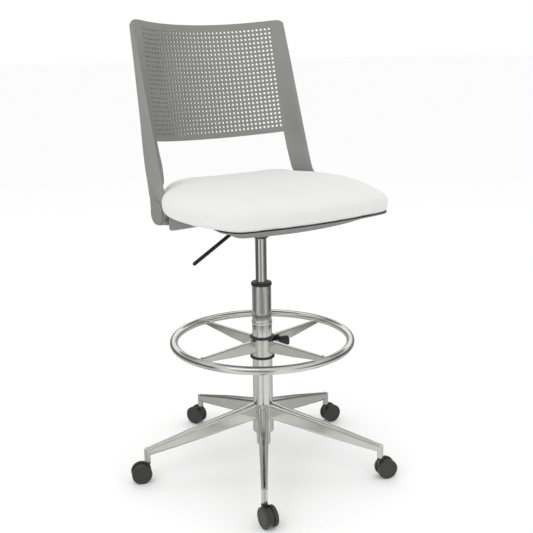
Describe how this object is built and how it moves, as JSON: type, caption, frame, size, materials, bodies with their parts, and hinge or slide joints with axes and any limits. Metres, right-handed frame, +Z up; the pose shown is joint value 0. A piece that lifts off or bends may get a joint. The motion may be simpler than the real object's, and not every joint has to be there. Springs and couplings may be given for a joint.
{
  "type": "drafting chair",
  "caption": "Tall swivel drafting chair on a caster star, with gas lift, adjustable foot ring, padded seat and perforated tilting back.",
  "frame": {"origin": "column axis where it meets the floor", "axes": "+Z up along the column; the sitter faces -Y; +X is the sitter's left"},
  "size_m": [0.6626, 0.6427, 1.1183],
  "materials": {
    "polished_aluminium": "polished casting",
    "chrome": "bright chrome plate",
    "bright_steel": "bright zinc",
    "dark_steel": "black powder coat",
    "black_lever": "satin black enamel",
    "black_plastic": "fine moulded grain",
    "nylon": "natural",
    "caster_plastic": "satin moulded",
    "caster_tread": "soft tread",
    "grey_shell": "fine grain, satin",
    "black_rubber": "moulded",
    "plywood": "raw",
    "seat_fabric": "fine plain weave, off-white"
  },
  "bodies": {
    "base": {"base_star": "polished_aluminium", "column_tube": "chrome", "column_foot": "polished_aluminium", "column_cover": "chrome", "guide_bush": "nylon", "column_top_ring": "black_plastic", "sleeve_screw": "bright_steel"},
    "lift_rod": {"piston_rod": "bright_steel", "rod_clip": "dark_steel", "thrust_bearing": "bright_steel"},
    "seat": {"gas_cylinder": "chrome", "rod_gland": "black_plastic", "seat_shell": "grey_shell", "seat_board": "plywood", "seat_cushion": "seat_fabric", "mechanism_housing": "black_plastic", "mechanism_plate": "dark_steel", "mechanism_bolts": "bright_steel", "hinge_pins": "bright_steel", "recline_stops": "black_rubber", "recline_springs": "bright_steel"},
    "release": {"release_pin": "bright_steel"},
    "lever": {"height_lever": "black_lever"},
    "back": {"backrest": "grey_shell", "hinge_cap_left": "grey_shell", "hinge_cap_right": "grey_shell", "hinge_bushes": "nylon"},
    "ring_carrier": {"ring_collar_lower": "black_plastic", "ring_collar_upper": "black_plastic"},
    "foot_ring": {"foot_ring": "chrome", "ring_spider": "polished_aluminium", "ring_screws": "bright_steel"},
    "clamp_screw": {"clamp_knob": "black_plastic", "clamp_stud": "bright_steel"},
    "clamp_shoe": {"clamp_pad": "nylon"},
    "caster_1": {"caster_1_stem": "bright_steel", "caster_1_hood": "caster_plastic", "caster_1_axle": "bright_steel"},
    "caster_1_wheel_a": {"caster_1_wheel_a": "caster_tread"},
    "caster_1_wheel_b": {"caster_1_wheel_b": "caster_tread"},
    "caster_2": {"caster_2_stem": "bright_steel", "caster_2_hood": "caster_plastic", "caster_2_axle": "bright_steel"},
    "caster_2_wheel_a": {"caster_2_wheel_a": "caster_tread"},
    "caster_2_wheel_b": {"caster_2_wheel_b": "caster_tread"},
    "caster_3": {"caster_3_stem": "bright_steel", "caster_3_hood": "caster_plastic", "caster_3_axle": "bright_steel"},
    "caster_3_wheel_a": {"caster_3_wheel_a": "caster_tread"},
    "caster_3_wheel_b": {"caster_3_wheel_b": "caster_tread"},
    "caster_4": {"caster_4_stem": "bright_steel", "caster_4_hood": "caster_plastic", "caster_4_axle": "bright_steel"},
    "caster_4_wheel_a": {"caster_4_wheel_a": "caster_tread"},
    "caster_4_wheel_b": {"caster_4_wheel_b": "caster_tread"},
    "caster_5": {"caster_5_stem": "bright_steel", "caster_5_hood": "caster_plastic", "caster_5_axle": "bright_steel"},
    "caster_5_wheel_a": {"caster_5_wheel_a": "caster_tread"},
    "caster_5_wheel_b": {"caster_5_wheel_b": "caster_tread"}
  },
  "joints": [
    {"name": "seat_swivel", "type": "hinge", "parent": "base", "child": "lift_rod", "pos_m": [0, 0, 0.1], "axis": [0, 0, 1], "continuous": true},
    {"name": "seat_lift", "type": "slide", "parent": "lift_rod", "child": "seat", "axis": [0, 0, 1], "range_m": [-0.1, 0.13]},
    {"name": "back_recline", "type": "hinge", "parent": "seat", "child": "back", "pos_m": [0, 0.075, 0.674], "axis": [-1, 0, 0], "range_deg": [0, 9], "stiffness_Nm_per_rad": 60, "springref_deg": -17.19},
    {"name": "lever_lift", "type": "hinge", "parent": "seat", "child": "lever", "pos_m": [-0.038, 0.007, 0.632], "axis": [-0.255, 0.9669, 0], "range_deg": [0, 5], "stiffness_Nm_per_rad": 6, "springref_deg": -5.73},
    {"name": "release_travel", "type": "slide", "parent": "seat", "child": "release", "axis": [0, 0, -1], "range_m": [0, 0.0034]},
    {"name": "ring_height", "type": "slide", "parent": "base", "child": "ring_carrier", "axis": [0, 0, 1], "range_m": [-0.11, 0.025]},
    {"name": "ring_swivel", "type": "hinge", "parent": "ring_carrier", "child": "foot_ring", "pos_m": [0, 0, 0.324], "axis": [0, 0, 1], "continuous": true},
    {"name": "clamp_turn", "type": "hinge", "parent": "foot_ring", "child": "clamp_screw", "pos_m": [0.04606, -0.00937, 0.324], "axis": [0.9799, -0.1994, 0], "continuous": true},
    {"name": "clamp_press", "type": "slide", "parent": "foot_ring", "child": "clamp_shoe", "axis": [-0.9799, 0.1994, 0], "range_m": [0, 0.0003]},
    {"name": "caster_1_swivel", "type": "hinge", "parent": "base", "child": "caster_1", "pos_m": [-0.16779, -0.2535, 0.0545], "axis": [0, 0, 1], "continuous": true},
    {"name": "caster_1_roll_a", "type": "hinge", "parent": "caster_1", "child": "caster_1_wheel_a", "pos_m": [-0.16946, -0.26941, 0.025], "axis": [-0.9945, 0.1045, 0], "continuous": true},
    {"name": "caster_1_roll_b", "type": "hinge", "parent": "caster_1", "child": "caster_1_wheel_b", "pos_m": [-0.16946, -0.26941, 0.025], "axis": [-0.9945, 0.1045, 0], "continuous": true},
    {"name": "caster_2_swivel", "type": "hinge", "parent": "base", "child": "caster_2", "pos_m": [0.18924, -0.23791, 0.0545], "axis": [0, 0, 1], "continuous": true},
    {"name": "caster_2_roll_a", "type": "hinge", "parent": "caster_2", "child": "caster_2_wheel_a", "pos_m": [0.20446, -0.24285, 0.025], "axis": [-0.309, -0.9511, 0], "continuous": true},
    {"name": "caster_2_roll_b", "type": "hinge", "parent": "caster_2", "child": "caster_2_wheel_b", "pos_m": [0.20446, -0.24285, 0.025], "axis": [-0.309, -0.9511, 0], "continuous": true},
    {"name": "caster_3_swivel", "type": "hinge", "parent": "base", "child": "caster_3", "pos_m": [0.28475, 0.10646, 0.0545], "axis": [0, 0, 1], "continuous": true},
    {"name": "caster_3_roll_a", "type": "hinge", "parent": "caster_3", "child": "caster_3_wheel_a", "pos_m": [0.30073, 0.10562, 0.025], "axis": [-0.0523, -0.9986, 0], "continuous": true},
    {"name": "caster_3_roll_b", "type": "hinge", "parent": "caster_3", "child": "caster_3_wheel_b", "pos_m": [0.30073, 0.10562, 0.025], "axis": [-0.0523, -0.9986, 0], "continuous": true},
    {"name": "caster_4_swivel", "type": "hinge", "parent": "base", "child": "caster_4", "pos_m": [-0.01326, 0.30371, 0.0545], "axis": [0, 0, 1], "continuous": true},
    {"name": "caster_4_roll_a", "type": "hinge", "parent": "caster_4", "child": "caster_4_wheel_a", "pos_m": [-0.01925, 0.31854, 0.025], "axis": [0.9272, 0.3746, 0], "continuous": true},
    {"name": "caster_4_roll_b", "type": "hinge", "parent": "caster_4", "child": "caster_4_wheel_b", "pos_m": [-0.01925, 0.31854, 0.025], "axis": [0.9272, 0.3746, 0], "continuous": true},
    {"name": "caster_5_swivel", "type": "hinge", "parent": "base", "child": "caster_5", "pos_m": [-0.29294, 0.08124, 0.0545], "axis": [0, 0, 1], "continuous": true},
    {"name": "caster_5_roll_a", "type": "hinge", "parent": "caster_5", "child": "caster_5_wheel_a", "pos_m": [-0.30798, 0.08671, 0.025], "axis": [0.342, 0.9397, 0], "continuous": true},
    {"name": "caster_5_roll_b", "type": "hinge", "parent": "caster_5", "child": "caster_5_wheel_b", "pos_m": [-0.30798, 0.08671, 0.025], "axis": [0.342, 0.9397, 0], "continuous": true}
  ],
  "couplings": [
    {"joint": "release_travel", "follows": "lever_lift", "m_per_rad": 0.0386}
  ]
}
